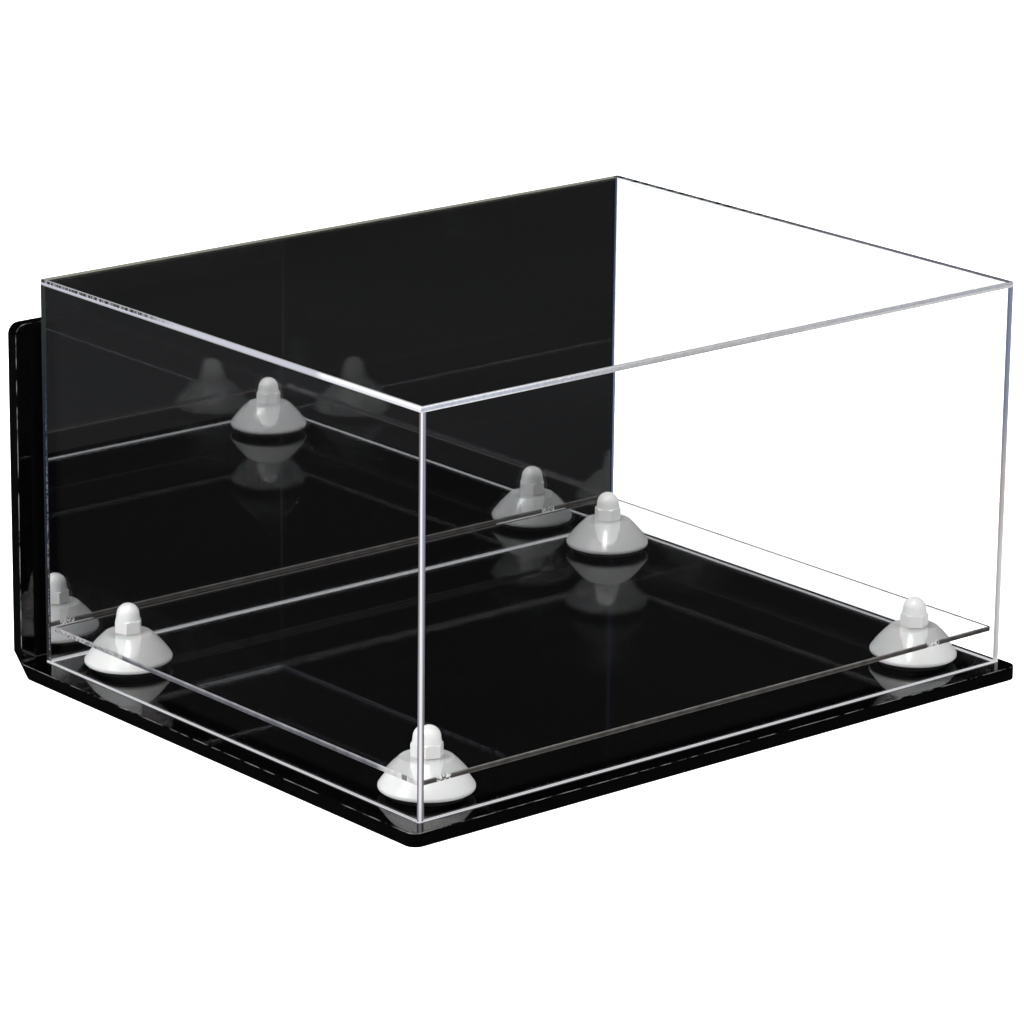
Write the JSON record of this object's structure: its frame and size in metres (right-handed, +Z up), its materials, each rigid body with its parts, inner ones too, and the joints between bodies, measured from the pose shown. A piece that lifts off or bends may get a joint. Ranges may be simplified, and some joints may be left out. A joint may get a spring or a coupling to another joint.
{
  "type": "display case",
  "caption": "Low clear box with a mirrored back wall, standing loose over a clear shelf on white risers, on a black L-shaped stand that rests on a table or screws to a wall.",
  "frame": {"origin": "middle of the stand's outline, on the surface that the stand rests on", "axes": "+X to the right along the width, +Y to the back board, +Z up; the front faces -Y"},
  "size_m": [0.4032, 0.3274, 0.2105],
  "materials": {
    "black_acrylic": "polished",
    "clear_acrylic": "polished",
    "mirrored_acrylic": "polished",
    "white_plastic": "gloss",
    "black_rubber": "matte",
    "bolt_steel": "satin"
  },
  "bodies": {
    "stand": {"acorn_nut_back_left": "white_plastic", "acorn_nut_back_right": "white_plastic", "acorn_nut_front_left": "white_plastic", "acorn_nut_front_right": "white_plastic", "bolt_back_left": "bolt_steel", "bolt_back_right": "bolt_steel", "bolt_front_left": "bolt_steel", "bolt_front_right": "bolt_steel", "riser_back_left": "white_plastic", "riser_back_right": "white_plastic", "riser_front_left": "white_plastic", "riser_front_right": "white_plastic", "shelf": "clear_acrylic", "stand": "black_acrylic", "washer_back_left": "black_rubber", "washer_back_right": "black_rubber", "washer_front_left": "black_rubber", "washer_front_right": "black_rubber"},
    "cover": {"cover_back_mirror": "mirrored_acrylic", "cover_front": "clear_acrylic", "cover_left": "clear_acrylic", "cover_right": "clear_acrylic", "cover_top": "clear_acrylic"}
  },
  "joints": [
    {"name": "cover_lift", "type": "slide", "parent": "stand", "child": "cover", "axis": [0, 0, 1], "range_m": [0, 0.25]}
  ]
}
